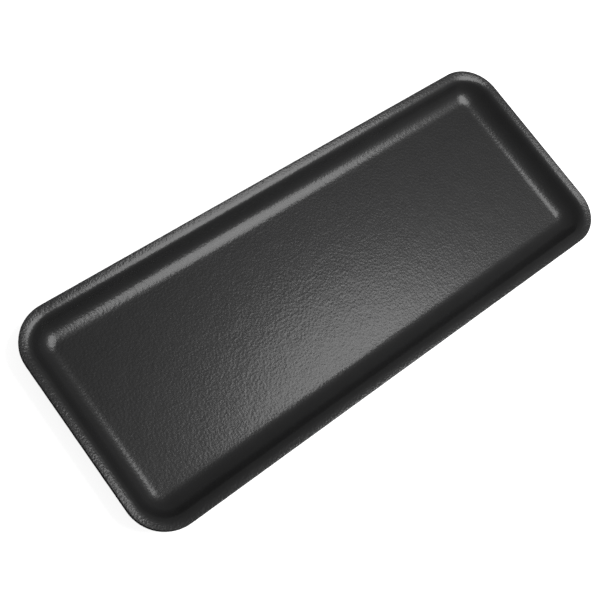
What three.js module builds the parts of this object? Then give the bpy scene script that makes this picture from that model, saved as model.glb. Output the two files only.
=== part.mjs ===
// A long, shallow foam tray for raw food, thermoformed from one sheet of black foam.
// Millimetres, +Z up. The origin is under the middle of the tray, on the surface it stands on.
// +X runs along the tray's length.
import * as THREE from "three";

// Driving dimensions
const trayLength = 375;
const trayWidth = 146;
const insideDepth = 11.7;
const sheetThickness = 3.6;
const wallAngle = THREE.MathUtils.degToRad(53);
const floorFilletRadius = 15;
const floorCornerRadius = 3;
const rimWidth = 4.4;
const rimCrownRadius = 26;
const rimSlope = THREE.MathUtils.degToRad(14);
const rimBendInnerRadius = 3.2;
const cutEdgeRadius = 0.4;

// Finish of the foam's skin
const foamColour = "#2b2b2c";
const foamRoughness = 0.45;

// How finely the curves are divided
const cornerSteps = 10;
const floorFilletSteps = 6;
const rimCrownSteps = 3;
const rimBendSteps = 5;
const cutEdgeSteps = 2;

// Heights and radii that follow from the driving dimensions
const floorHeight = sheetThickness;
const overallHeight = floorHeight + insideDepth;
const rimBendRadius = rimBendInnerRadius + sheetThickness;
const outerFilletRadius = floorFilletRadius + sheetThickness;

// The section is drawn in a plane across the rim: x is the distance inwards from the cut edge,
// y is the height. A direction in it is an angle from straight up, positive towards the cut edge.
function alongNormal(centre, radius, angle) {
  return new THREE.Vector2(centre.x - radius * Math.sin(angle), centre.y + radius * Math.cos(angle));
}

function arc(centre, radius, startAngle, endAngle, steps) {
  const points = [];
  for (let step = 0; step <= steps; step += 1) {
    const angle = THREE.MathUtils.lerp(startAngle, endAngle, step / steps);
    points.push(alongNormal(centre, radius, angle));
  }
  return points;
}

// The rim is a slightly crowned band. It rises from the bend, where its slope is steepest, to
// the cut edge, whose rounded upper corner is the tray's highest line. The crown, the bend and the
// two roundings of the cut edge are tangent to each other.
const crownCentreInset = rimWidth - rimCrownRadius * Math.sin(rimSlope);

// The crown's slope where it is touched by a rounding of the cut edge, whose centre has this
// radius about the crown's centre
function slopeAtCutEdge(radius) {
  return Math.asin((cutEdgeRadius - crownCentreInset) / radius);
}

const upperCutRadius = rimCrownRadius - cutEdgeRadius;
const upperCutSlope = slopeAtCutEdge(upperCutRadius);
const crownCentreHeight = overallHeight - cutEdgeRadius - upperCutRadius * Math.cos(upperCutSlope);
const crownCentre = new THREE.Vector2(crownCentreInset, crownCentreHeight);
const upperCutCentre = alongNormal(crownCentre, upperCutRadius, -upperCutSlope);

const lowerCrownRadius = rimCrownRadius - sheetThickness;
const lowerCutRadius = lowerCrownRadius + cutEdgeRadius;
const lowerCutSlope = slopeAtCutEdge(lowerCutRadius);
const lowerCutCentre = alongNormal(crownCentre, lowerCutRadius, -lowerCutSlope);

// The sheet bends round one centre from the rim into the wall, so it keeps its thickness there.
const rimBendCentre = alongNormal(crownCentre, rimCrownRadius - rimBendRadius, -rimSlope);

// The floor fillet's centre lies over the line where the flat floor starts. The straight wall
// between the rim's bend and the fillet is tangent to both.
function floorStartInset() {
  const wallTop = alongNormal(rimBendCentre, rimBendRadius, -wallAngle);
  const wallFoot = floorHeight + floorFilletRadius * (1 - Math.cos(wallAngle));
  const wallRun = (wallTop.y - wallFoot) / Math.tan(wallAngle);
  return wallTop.x + wallRun + floorFilletRadius * Math.sin(wallAngle);
}

const floorInset = floorStartInset();
const filletCentre = new THREE.Vector2(floorInset, floorHeight + floorFilletRadius);

// The closed section of the sheet, from the flat floor's upper side over the rim and back
// to its underside
function sheetSection() {
  const level = Math.PI / 2;
  const down = Math.PI;
  return [
    ...arc(filletCentre, floorFilletRadius, down, down - wallAngle, floorFilletSteps),
    ...arc(rimBendCentre, rimBendRadius, -wallAngle, -rimSlope, rimBendSteps),
    ...arc(crownCentre, rimCrownRadius, -rimSlope, -upperCutSlope, rimCrownSteps).slice(1),
    ...arc(upperCutCentre, cutEdgeRadius, 0, level, cutEdgeSteps),
    ...arc(lowerCutCentre, cutEdgeRadius, level, down - lowerCutSlope, cutEdgeSteps),
    ...arc(crownCentre, lowerCrownRadius, -lowerCutSlope, -rimSlope, rimCrownSteps).slice(1),
    ...arc(rimBendCentre, rimBendInnerRadius, -rimSlope, -wallAngle, rimBendSteps).slice(1),
    ...arc(filletCentre, outerFilletRadius, down - wallAngle, down, floorFilletSteps),
  ];
}

// A rounded rectangle in plan, as far inside the tray's outline as the inset says
function planRing(inset) {
  const radius = floorCornerRadius + floorInset - inset;
  const centreX = trayLength / 2 - inset - radius;
  const centreY = trayWidth / 2 - inset - radius;
  const quarter = Math.PI / 2;
  const corners = [[1, 1], [-1, 1], [-1, -1], [1, -1]];
  const points = [];
  corners.forEach(([sideX, sideY], corner) => {
    for (let step = 0; step <= cornerSteps; step += 1) {
      const angle = (corner + step / cornerSteps) * quarter;
      const x = sideX * centreX + radius * Math.cos(angle);
      const y = sideY * centreY + radius * Math.sin(angle);
      points.push(new THREE.Vector2(x, y));
    }
  });
  return points;
}

// The section swept round the plan, one ring of points for each of its points. The flat floor
// closes the first and last rings.
function trayGeometry() {
  const positions = [];
  const indices = [];
  const section = sheetSection();
  const ringSize = planRing(0).length;
  for (const point of section) {
    for (const plan of planRing(point.x)) {
      positions.push(plan.x, plan.y, point.y);
    }
  }
  for (let ring = 0; ring < section.length - 1; ring += 1) {
    for (let step = 0; step < ringSize; step += 1) {
      const next = (step + 1) % ringSize;
      const here = ring * ringSize;
      const there = here + ringSize;
      indices.push(here + step, there + step, there + next);
      indices.push(here + step, there + next, here + next);
    }
  }
  const upperMiddle = section.length * ringSize;
  const lowerMiddle = upperMiddle + 1;
  const lastRing = (section.length - 1) * ringSize;
  positions.push(0, 0, floorHeight);
  positions.push(0, 0, 0);
  for (let step = 0; step < ringSize; step += 1) {
    const next = (step + 1) % ringSize;
    indices.push(upperMiddle, step, next);
    indices.push(lowerMiddle, lastRing + next, lastRing + step);
  }
  const geometry = new THREE.BufferGeometry();
  geometry.setAttribute("position", new THREE.Float32BufferAttribute(positions, 3));
  geometry.setIndex(indices);
  geometry.computeVertexNormals();
  return geometry;
}

function foamMaterial() {
  return new THREE.MeshStandardMaterial({
    color: foamColour,
    roughness: foamRoughness,
    metalness: 0,
  });
}

const tray = new THREE.Mesh(trayGeometry(), foamMaterial());
tray.name = "foam_tray";

const model = new THREE.Group();
model.add(tray);

export default model;
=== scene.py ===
"""A black foam tray for raw food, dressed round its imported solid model.

Metres, +Z up. The origin is under the middle of the tray, and +X runs along its length.
"""

import math

import bpy
import numpy as np
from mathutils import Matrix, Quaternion, Vector, noise


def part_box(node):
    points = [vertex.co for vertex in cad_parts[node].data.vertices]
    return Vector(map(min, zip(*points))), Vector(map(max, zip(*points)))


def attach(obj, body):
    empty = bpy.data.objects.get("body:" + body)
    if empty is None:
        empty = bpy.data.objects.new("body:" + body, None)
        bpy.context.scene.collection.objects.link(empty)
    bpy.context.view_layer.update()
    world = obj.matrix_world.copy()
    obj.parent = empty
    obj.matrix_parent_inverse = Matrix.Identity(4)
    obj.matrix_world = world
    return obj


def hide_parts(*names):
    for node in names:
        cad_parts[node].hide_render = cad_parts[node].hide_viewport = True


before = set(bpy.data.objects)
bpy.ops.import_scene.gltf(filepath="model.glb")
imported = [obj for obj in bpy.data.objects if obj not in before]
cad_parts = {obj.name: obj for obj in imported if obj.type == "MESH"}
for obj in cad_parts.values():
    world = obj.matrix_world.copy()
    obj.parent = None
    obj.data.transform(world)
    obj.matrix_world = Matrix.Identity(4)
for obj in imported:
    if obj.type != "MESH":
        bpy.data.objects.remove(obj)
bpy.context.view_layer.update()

NODE = "foam_tray"
MM = 0.001

# The tray's own sizes. Its length, width and height come from the solid model.
SHEET_THICKNESS = 3.6 * MM
WALL_ANGLE = math.radians(53)
FLOOR_FILLET_RADIUS = 15 * MM
FLOOR_CORNER_RADIUS = 3 * MM
RIM_WIDTH = 4.4 * MM
RIM_CROWN_RADIUS = 26 * MM
RIM_SLOPE = math.radians(14)
RIM_BEND_INNER_RADIUS = 3.2 * MM
CUT_EDGE_RADIUS = 0.4 * MM

low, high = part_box(NODE)
length = high.x - low.x
width = high.y - low.y
height = high.z - low.z

# How finely the mesh is divided
LENGTH_CELLS = 204
WIDTH_CELLS = 60
CORNER_STEPS = 16
FILLET_STEPS = 12
WALL_STEPS = 4
BEND_STEPS = 10
CROWN_STEPS = 8
CUT_ARC_STEPS = 4
CUT_FACE_STEPS = 5
INNER_BEND_STEPS = 5
UNDER_CROWN_STEPS = 3
UNDER_FILLET_STEPS = 8


# The section of the sheet, in a plane across the rim. Angles in it are from straight up,
# positive towards the cut edge.
class Station:
    """A point of the section, as a distance in from the cut edge and a height.

    It has the direction out of the foam there. Its cut and crown are 1 on the cut face and on
    the rim's crown, and 0 elsewhere.
    """

    def __init__(self, inset, level, normal, cut, crown=0.0):
        self.inset = inset
        self.level = level
        self.normal = normal
        self.cut = cut
        self.crown = crown


def direction(angle):
    return np.array([-math.sin(angle), math.cos(angle)])


def arc(centre, radius, start, end, steps, side=1.0, cut=None, crown=0.0):
    """Stations on an arc. The side is -1 where the foam lies outside the arc."""
    stations = []
    for step in range(steps + 1):
        share = step / steps
        outward = direction(start + (end - start) * share)
        point = centre + radius * outward
        cut_here = cut(share) if cut else 0.0
        stations.append(Station(point[0], point[1], side * outward, cut_here, crown))
    return stations


def between(first, last, steps):
    """Stations on the straight stretch between two stations, without its ends."""
    stations = []
    for step in range(1, steps):
        share = step / steps
        inset = first.inset + (last.inset - first.inset) * share
        level = first.level + (last.level - first.level) * share
        normal = first.normal + (last.normal - first.normal) * share
        cut = first.cut + (last.cut - first.cut) * share
        stations.append(Station(inset, level, normal / np.linalg.norm(normal), cut))
    return stations


# The rim's crown rises from the bend to the cut edge, whose upper rounding is the highest line.
crown_centre_inset = RIM_WIDTH - RIM_CROWN_RADIUS * math.sin(RIM_SLOPE)


def slope_at_cut_edge(radius):
    """The crown's slope where a rounding of the cut edge touches it."""
    return math.asin((CUT_EDGE_RADIUS - crown_centre_inset) / radius)


upper_cut_radius = RIM_CROWN_RADIUS - CUT_EDGE_RADIUS
upper_cut_slope = slope_at_cut_edge(upper_cut_radius)
crown_centre_height = height - CUT_EDGE_RADIUS - upper_cut_radius * math.cos(upper_cut_slope)
crown_centre = np.array([crown_centre_inset, crown_centre_height])
upper_cut_centre = crown_centre + upper_cut_radius * direction(-upper_cut_slope)

lower_crown_radius = RIM_CROWN_RADIUS - SHEET_THICKNESS
lower_cut_radius = lower_crown_radius + CUT_EDGE_RADIUS
lower_cut_slope = slope_at_cut_edge(lower_cut_radius)
lower_cut_centre = crown_centre + lower_cut_radius * direction(-lower_cut_slope)

bend_radius = RIM_BEND_INNER_RADIUS + SHEET_THICKNESS
bend_centre = crown_centre + (RIM_CROWN_RADIUS - bend_radius) * direction(-RIM_SLOPE)


def floor_start_inset():
    """Where the flat floor starts, with a straight wall tangent to the bend and the fillet."""
    wall_top = bend_centre + bend_radius * direction(-WALL_ANGLE)
    wall_foot = SHEET_THICKNESS + FLOOR_FILLET_RADIUS * (1 - math.cos(WALL_ANGLE))
    wall_run = (wall_top[1] - wall_foot) / math.tan(WALL_ANGLE)
    return wall_top[0] + wall_run + FLOOR_FILLET_RADIUS * math.sin(WALL_ANGLE)


floor_inset = floor_start_inset()
fillet_centre = np.array([floor_inset, SHEET_THICKNESS + FLOOR_FILLET_RADIUS])


def sheet_section():
    """The section from the floor's upper side over the rim and back to its underside."""
    level = math.pi / 2
    down = math.pi
    floor_fillet = arc(
        fillet_centre, FLOOR_FILLET_RADIUS, down, down - WALL_ANGLE, FILLET_STEPS, side=-1.0
    )
    bend = arc(bend_centre, bend_radius, -WALL_ANGLE, -RIM_SLOPE, BEND_STEPS)
    crown = arc(
        crown_centre, RIM_CROWN_RADIUS, -RIM_SLOPE, -upper_cut_slope, CROWN_STEPS, crown=1.0
    )
    upper_edge = arc(
        upper_cut_centre, CUT_EDGE_RADIUS, 0, level, CUT_ARC_STEPS,
        cut=lambda share: share, crown=1.0,
    )
    lower_edge = arc(
        lower_cut_centre, CUT_EDGE_RADIUS, level, down - lower_cut_slope, CUT_ARC_STEPS,
        cut=lambda share: 1.0 - share,
    )
    under_crown = arc(
        crown_centre, lower_crown_radius, -lower_cut_slope, -RIM_SLOPE, UNDER_CROWN_STEPS,
        side=-1.0,
    )
    inner_bend = arc(
        bend_centre, RIM_BEND_INNER_RADIUS, -RIM_SLOPE, -WALL_ANGLE, INNER_BEND_STEPS, side=-1.0
    )
    under_fillet = arc(
        fillet_centre, FLOOR_FILLET_RADIUS + SHEET_THICKNESS, down - WALL_ANGLE, down,
        UNDER_FILLET_STEPS,
    )
    return (
        floor_fillet
        + between(floor_fillet[-1], bend[0], WALL_STEPS)
        + bend
        + crown[1:]
        + upper_edge
        + between(upper_edge[-1], lower_edge[0], CUT_FACE_STEPS)
        + lower_edge
        + under_crown[1:]
        + inner_bend[1:]
        + between(inner_bend[-1], under_fillet[0], WALL_STEPS)
        + under_fillet
    )


# The plan. Every ring of the tray is the outline of one core rectangle, grown by a radius with
# round corners, so a ring's point is a point of the core's edge and a direction out from it.
outer_radius = FLOOR_CORNER_RADIUS + floor_inset
core_x = length / 2 - outer_radius
core_y = width / 2 - outer_radius
CORNERS = ((1, 1), (-1, 1), (-1, -1), (1, -1))

# The flat floor's two sides are grids over the core rectangle, numbered row by row.
GRID_COLUMNS = LENGTH_CELLS + 1
GRID_SIZE = GRID_COLUMNS * (WIDTH_CELLS + 1)


def plan_ring():
    """The core points, the directions out, and the core grid's place of each ring point."""
    core_points = []
    outward = []
    grid_places = []
    for corner, (side_x, side_y) in enumerate(CORNERS):
        column = LENGTH_CELLS if side_x > 0 else 0
        row = WIDTH_CELLS if side_y > 0 else 0
        for step in range(CORNER_STEPS + 1):
            angle = (corner + step / CORNER_STEPS) * math.pi / 2
            core_points.append((side_x * core_x, side_y * core_y))
            outward.append((math.cos(angle), math.sin(angle)))
            grid_places.append((column, row))
        next_x, next_y = CORNERS[(corner + 1) % len(CORNERS)]
        along_length = next_x != side_x
        cells = LENGTH_CELLS if along_length else WIDTH_CELLS
        for step in range(1, cells):
            share = step / cells
            x = side_x + (next_x - side_x) * share
            y = side_y + (next_y - side_y) * share
            core_points.append((x * core_x, y * core_y))
            outward.append((0.0, float(side_y)) if along_length else (float(side_x), 0.0))
            if along_length:
                grid_places.append((column - side_x * step, row))
            else:
                grid_places.append((column, row - side_y * step))
    return np.array(core_points), np.array(outward), grid_places


class Surface:
    """The tray's surface points before they sink, collected one block after another."""

    def __init__(self):
        self.places = []
        self.normals = []
        self.cuts = []
        self.crowns = []

    def add(self, places, normals, cut, crown):
        self.places.append(places)
        self.normals.append(normals)
        self.cuts.append(np.full(len(places), cut))
        self.crowns.append(np.full(len(places), crown))


def add_rings(surface, section, core_points, outward):
    """One ring of points for each station of the section."""
    for station in section:
        plan = core_points + (outer_radius - station.inset) * outward
        levels = np.full((len(plan), 1), station.level)
        slopes = np.full((len(plan), 1), station.normal[1])
        places = np.hstack([plan, levels])
        normals = np.hstack([-station.normal[0] * outward, slopes])
        surface.add(places, normals, station.cut, station.crown)


def add_floor_grids(surface):
    """The grid of the floor's upper side, then that of its underside."""
    columns = np.linspace(-core_x, core_x, GRID_COLUMNS)
    rows = np.linspace(-core_y, core_y, WIDTH_CELLS + 1)
    grid_y, grid_x = np.meshgrid(rows, columns, indexing="ij")
    for level, up in ((SHEET_THICKNESS, 1.0), (0.0, -1.0)):
        levels = np.full(GRID_SIZE, level)
        places = np.stack([grid_x.ravel(), grid_y.ravel(), levels], axis=1)
        normals = np.tile([0.0, 0.0, up], (GRID_SIZE, 1))
        surface.add(places, normals, 0.0, 0.0)


def swept_faces(ring_count, ring_size):
    faces = []
    for ring in range(ring_count - 1):
        here = ring * ring_size
        there = here + ring_size
        for step in range(ring_size):
            after = (step + 1) % ring_size
            faces.append((here + step, there + step, there + after, here + after))
    return faces


def floor_faces(upper_grid, lower_grid):
    faces = []
    for row in range(WIDTH_CELLS):
        for column in range(LENGTH_CELLS):
            corner = row * GRID_COLUMNS + column
            loop = (corner, corner + 1, corner + GRID_COLUMNS + 1, corner + GRID_COLUMNS)
            faces.append(tuple(upper_grid + index for index in loop))
            faces.append(tuple(lower_grid + index for index in reversed(loop)))
    return faces


def joining_faces(grid_places, last_ring, upper_grid, lower_grid):
    """Faces from each grid's edge to its ring, which are triangles at the core's corners."""
    faces = []
    grid_index = [row * GRID_COLUMNS + column for column, row in grid_places]
    for step in range(len(grid_index)):
        after = (step + 1) % len(grid_index)
        upper = (upper_grid + grid_index[step], step, after, upper_grid + grid_index[after])
        lower = (
            lower_grid + grid_index[after],
            last_ring + after,
            last_ring + step,
            lower_grid + grid_index[step],
        )
        faces.append(tuple(dict.fromkeys(upper)))
        faces.append(tuple(dict.fromkeys(lower)))
    return faces


# Relief of the foam's skin. It only ever sinks into the sheet, so the tray keeps its box.
SWELL_SIZE = 7.0 * MM
SWELL_DEPTH = 0.05 * MM
DIMPLE_SIZE = 2.2 * MM
DIMPLE_DEPTH = 0.03 * MM
CUT_NOISE_SIZE = 1.4 * MM
CUT_NOISE_DEPTH = 0.15 * MM


def unevenness(place, size):
    """Smooth noise from 0 to 1 with bumps of about this size."""
    return 0.5 + 0.5 * noise.noise(place / size)


def sink(place, cut):
    """How far the surface lies under its ideal place."""
    swell = unevenness(place, SWELL_SIZE) * SWELL_DEPTH
    dimple = unevenness(place, DIMPLE_SIZE) * DIMPLE_DEPTH
    torn = unevenness(place, CUT_NOISE_SIZE) * CUT_NOISE_DEPTH
    return swell + dimple + cut * torn


def tray_mesh(name):
    section = sheet_section()
    core_points, outward, grid_places = plan_ring()
    surface = Surface()
    add_rings(surface, section, core_points, outward)
    add_floor_grids(surface)
    places = np.vstack(surface.places)
    normals = np.vstack(surface.normals)
    cuts = np.concatenate(surface.cuts)
    crowns = np.concatenate(surface.crowns)
    depths = np.array([sink(Vector(place), cut) for place, cut in zip(places, cuts)])
    places = places - normals * depths[:, None]

    ring_size = len(core_points)
    upper_grid = len(section) * ring_size
    lower_grid = upper_grid + GRID_SIZE
    faces = (
        swept_faces(len(section), ring_size)
        + floor_faces(upper_grid, lower_grid)
        + joining_faces(grid_places, upper_grid - ring_size, upper_grid, lower_grid)
    )
    mesh = bpy.data.meshes.new(name)
    mesh.from_pydata(places.tolist(), [], faces)
    for label, values in (("cut", cuts), ("crown", crowns)):
        attribute = mesh.attributes.new(label, "FLOAT", "POINT")
        attribute.data.foreach_set("value", values)
    mesh.validate()
    mesh.shade_smooth()
    return mesh


# Shader nodes
def empty_material(name):
    material = bpy.data.materials.new(name)
    material.use_nodes = True
    tree = material.node_tree
    tree.nodes.clear()
    return material, tree


def add(tree, kind, **settings):
    node = tree.nodes.new(kind)
    for key, value in settings.items():
        setattr(node, key, value)
    return node


def math_node(tree, operation, first, second):
    node = add(tree, "ShaderNodeMath", operation=operation)
    for socket, value in zip(node.inputs, (first, second)):
        if isinstance(value, (int, float)):
            socket.default_value = value
        else:
            tree.links.new(value, socket)
    return node.outputs[0]


def added(tree, first, second):
    return math_node(tree, "ADD", first, second)


def times(tree, first, second):
    return math_node(tree, "MULTIPLY", first, second)


def mesh_value(tree, name):
    return add(tree, "ShaderNodeAttribute", attribute_name=name).outputs["Fac"]


def noise_node(tree, coordinates, size, detail):
    node = add(tree, "ShaderNodeTexNoise")
    node.inputs["Scale"].default_value = 1.0 / size
    node.inputs["Detail"].default_value = detail
    tree.links.new(coordinates, node.inputs["Vector"])
    return node.outputs["Fac"]


def cells_node(tree, coordinates, size, feature):
    """A distance within cells of this size, as a share of it."""
    node = add(tree, "ShaderNodeTexVoronoi", feature=feature)
    node.inputs["Scale"].default_value = 1.0 / size
    tree.links.new(coordinates, node.inputs["Vector"])
    return node.outputs["Distance"]


def ranged(tree, value, source, target):
    """The value moved from the source's range to the target's, and kept inside it."""
    node = add(tree, "ShaderNodeMapRange")
    tree.links.new(value, node.inputs["Value"])
    node.inputs["From Min"].default_value = source[0]
    node.inputs["From Max"].default_value = source[1]
    node.inputs["To Min"].default_value = target[0]
    node.inputs["To Max"].default_value = target[1]
    return node.outputs["Result"]


def mixed_colour(tree, factor, first, second):
    node = add(tree, "ShaderNodeMix", data_type="RGBA")
    tree.links.new(factor, node.inputs["Factor"])
    for socket, value in ((node.inputs["A"], first), (node.inputs["B"], second)):
        if isinstance(value, tuple):
            socket.default_value = value
        else:
            tree.links.new(value, socket)
    return node.outputs["Result"]


# The foam. The skin is pebbled and has a fine grain, its colour is mottled, and a thin sheen
# lies over it. The rim's crown has small dull flecks. The cut face shows the foam's bare cells:
# their walls are the cut foam's own lighter grey, and their hollows are darkened as painted
# shade inside the cells. The grain makes the cut face's border ragged.
UNIT = (0.0, 1.0)
SKIN_DARK = (0.013, 0.013, 0.0133, 1.0)
SKIN_LIGHT = (0.019, 0.019, 0.0194, 1.0)
MOTTLE_SIZE = 14 * MM
MOTTLE_DETAIL = 3.0
SKIN_GLOSS = 0.3
SKIN_ROUGHNESS = (0.34, 0.4)
SHEEN_WEIGHT = 0.34
SHEEN_ROUGHNESS = 0.15
PEBBLE_SIZE = 1.5 * MM
PEBBLE_DEPTH = 0.06 * MM
GRAIN_SIZE = 0.55 * MM
GRAIN_DETAIL = 2.0
GRAIN_RANGE = (0.3, 0.7)
GRAIN_DEPTH = 0.03 * MM
FLECK_SIZE = 1.3 * MM
FLECK_EDGE = (0.2, 0.6)
FLECK_DEPTH = 0.03 * MM
FLECK_DULLING = 0.12
CUT_RAGGEDNESS = 0.6
CUT_BORDER = (0.75, 0.9)
CUT_ADDED_ROUGHNESS = 0.3
CELL_SIZE = 0.75 * MM
CELL_DEPTH = 0.25 * MM
CELL_WALL_EDGE = (0.02, 0.16)
# The cell walls' grey is the cut foam's own colour; the dark cell hollow colour is painted shade
# inside the cells.
CELL_WALL = (0.11, 0.11, 0.112, 1.0)
CELL_HOLLOW_PAINTED_SHADE = (0.012, 0.012, 0.0125, 1.0)


def foam_material():
    material, tree = empty_material("black_foam")
    links = tree.links
    output = add(tree, "ShaderNodeOutputMaterial")
    shader = add(tree, "ShaderNodeBsdfPrincipled")
    links.new(shader.outputs["BSDF"], output.inputs["Surface"])

    # Patterns over the tray, and where each of them is
    place = add(tree, "ShaderNodeTexCoord").outputs["Object"]
    mottle = noise_node(tree, place, MOTTLE_SIZE, MOTTLE_DETAIL)
    grain = noise_node(tree, place, GRAIN_SIZE, GRAIN_DETAIL)
    pebble = cells_node(tree, place, PEBBLE_SIZE, "SMOOTH_F1")
    cell = cells_node(tree, place, CELL_SIZE, "DISTANCE_TO_EDGE")
    cell_wall = ranged(tree, cell, CELL_WALL_EDGE, (1.0, 0.0))
    ragged_cut = added(tree, mesh_value(tree, "cut"), times(tree, grain, CUT_RAGGEDNESS))
    is_cut = ranged(tree, ragged_cut, CUT_BORDER, UNIT)
    fleck = ranged(tree, cells_node(tree, place, FLECK_SIZE, "F1"), FLECK_EDGE, UNIT)
    fleck_on_crown = times(tree, mesh_value(tree, "crown"), fleck)

    skin_colour = mixed_colour(tree, mottle, SKIN_DARK, SKIN_LIGHT)
    # On the cut face the cell walls are lighter and the hollows darker; the hollows' darkness is
    # painted shade inside the cells.
    cell_colour_and_painted_shade = mixed_colour(tree, cell_wall, CELL_HOLLOW_PAINTED_SHADE, CELL_WALL)
    links.new(mixed_colour(tree, is_cut, skin_colour, cell_colour_and_painted_shade), shader.inputs["Base Color"])

    # The cut face has neither gloss nor sheen.
    skin_roughness = ranged(tree, grain, GRAIN_RANGE, SKIN_ROUGHNESS)
    roughness = added(tree, skin_roughness, times(tree, is_cut, CUT_ADDED_ROUGHNESS))
    links.new(roughness, shader.inputs["Roughness"])
    links.new(ranged(tree, is_cut, UNIT, (SKIN_GLOSS, 0.0)), shader.inputs["Specular IOR Level"])
    dulling = math_node(tree, "MAXIMUM", is_cut, times(tree, fleck_on_crown, FLECK_DULLING))
    links.new(ranged(tree, dulling, UNIT, (SHEEN_WEIGHT, 0.0)), shader.inputs["Coat Weight"])
    shader.inputs["Coat Roughness"].default_value = SHEEN_ROUGHNESS

    # The relief's heights are true metres, so the bump takes them at full strength and distance.
    pebble_height = times(tree, pebble, PEBBLE_DEPTH)
    grain_height = times(tree, grain, GRAIN_DEPTH)
    fleck_height = times(tree, fleck_on_crown, FLECK_DEPTH)
    skin_height = added(tree, added(tree, pebble_height, grain_height), fleck_height)
    relief = add(tree, "ShaderNodeMix", data_type="FLOAT")
    links.new(is_cut, relief.inputs["Factor"])
    links.new(skin_height, relief.inputs["A"])
    links.new(times(tree, cell_wall, CELL_DEPTH), relief.inputs["B"])
    bump = add(tree, "ShaderNodeBump")
    bump.inputs["Strength"].default_value = 1.0
    bump.inputs["Distance"].default_value = 1.0
    links.new(relief.outputs["Result"], bump.inputs["Height"])
    links.new(bump.outputs["Normal"], shader.inputs["Normal"])
    links.new(bump.outputs["Normal"], shader.inputs["Coat Normal"])
    return material


def make_tray():
    mesh = tray_mesh("tray_shell")
    mesh.materials.append(foam_material())
    shell = bpy.data.objects.new("tray_shell", mesh)
    bpy.context.scene.collection.objects.link(shell)
    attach(shell, "root")
    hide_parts(NODE)


# The camera, from the photograph's perspective
CAMERA_PLACE = Vector((-299.6, -91.5, 559.2)) * MM
CAMERA_AIM = Vector((-26.95, -1.7, 3.6)) * MM
CAMERA_ROLL = math.radians(36.83)
CAMERA_LENS = 61.58
CAMERA_SENSOR = 36.0


def make_camera():
    """The camera looks at its aim and is then turned about its own line of sight."""
    camera = bpy.data.cameras.new("camera")
    camera.lens = CAMERA_LENS
    camera.sensor_width = CAMERA_SENSOR
    holder = bpy.data.objects.new("camera", camera)
    level_view = (CAMERA_AIM - CAMERA_PLACE).to_track_quat("-Z", "Y")
    roll = Quaternion((0.0, 0.0, 1.0), CAMERA_ROLL)
    holder.location = CAMERA_PLACE
    holder.rotation_mode = "QUATERNION"
    holder.rotation_quaternion = level_view @ roll
    bpy.context.scene.collection.objects.link(holder)
    bpy.context.scene.camera = holder


# The stage: a pale floor, a dim white world and one oval soft lamp. The camera sees the floor
# lifted towards white and the world as white, while both light the tray at their plain level.
FLOOR_SIZE = 6.0
FLOOR_COLOUR = (0.8, 0.8, 0.8, 1.0)
FLOOR_LIFT = 0.85
WORLD_COLOUR = (1.0, 1.0, 1.0, 1.0)
WORLD_STRENGTH = 0.2
WORLD_SHOWN_STRENGTH = 1.0
LAMP_PLACE = (0.475, -0.345, 1.0)
LAMP_WIDTH = 0.70
LAMP_LENGTH = 0.96
LAMP_POWER = 12.0


def floor_material():
    material, tree = empty_material("white_floor")
    links = tree.links
    output = add(tree, "ShaderNodeOutputMaterial")
    diffuse = add(tree, "ShaderNodeBsdfDiffuse")
    diffuse.inputs["Color"].default_value = FLOOR_COLOUR
    glow = add(tree, "ShaderNodeEmission")
    seen = add(tree, "ShaderNodeLightPath").outputs["Is Camera Ray"]
    links.new(times(tree, seen, FLOOR_LIFT), glow.inputs["Strength"])
    both = add(tree, "ShaderNodeAddShader")
    links.new(diffuse.outputs["BSDF"], both.inputs[0])
    links.new(glow.outputs["Emission"], both.inputs[1])
    links.new(both.outputs["Shader"], output.inputs["Surface"])
    return material


def make_floor():
    half = FLOOR_SIZE / 2
    corners = [(side_x * half, side_y * half, 0.0) for side_x, side_y in CORNERS]
    mesh = bpy.data.meshes.new("floor")
    mesh.from_pydata(corners, [], [(0, 1, 2, 3)])
    mesh.materials.append(floor_material())
    floor = bpy.data.objects.new("floor", mesh)
    bpy.context.scene.collection.objects.link(floor)


def make_world():
    world = bpy.data.worlds.new("studio")
    world.use_nodes = True
    tree = world.node_tree
    background = tree.nodes["Background"]
    background.inputs["Color"].default_value = WORLD_COLOUR
    seen = add(tree, "ShaderNodeLightPath").outputs["Is Camera Ray"]
    strength = ranged(tree, seen, UNIT, (WORLD_STRENGTH, WORLD_SHOWN_STRENGTH))
    tree.links.new(strength, background.inputs["Strength"])
    bpy.context.scene.world = world


def make_lamp():
    """The lamp faces straight down, as an area lamp does unturned."""
    lamp = bpy.data.lights.new("softbox", "AREA")
    lamp.shape = "ELLIPSE"
    lamp.size = LAMP_WIDTH
    lamp.size_y = LAMP_LENGTH
    lamp.energy = LAMP_POWER
    holder = bpy.data.objects.new("softbox", lamp)
    holder.location = LAMP_PLACE
    bpy.context.scene.collection.objects.link(holder)


make_camera()
make_tray()
make_floor()
make_world()
make_lamp()
bpy.context.scene.view_settings.view_transform = "Standard"
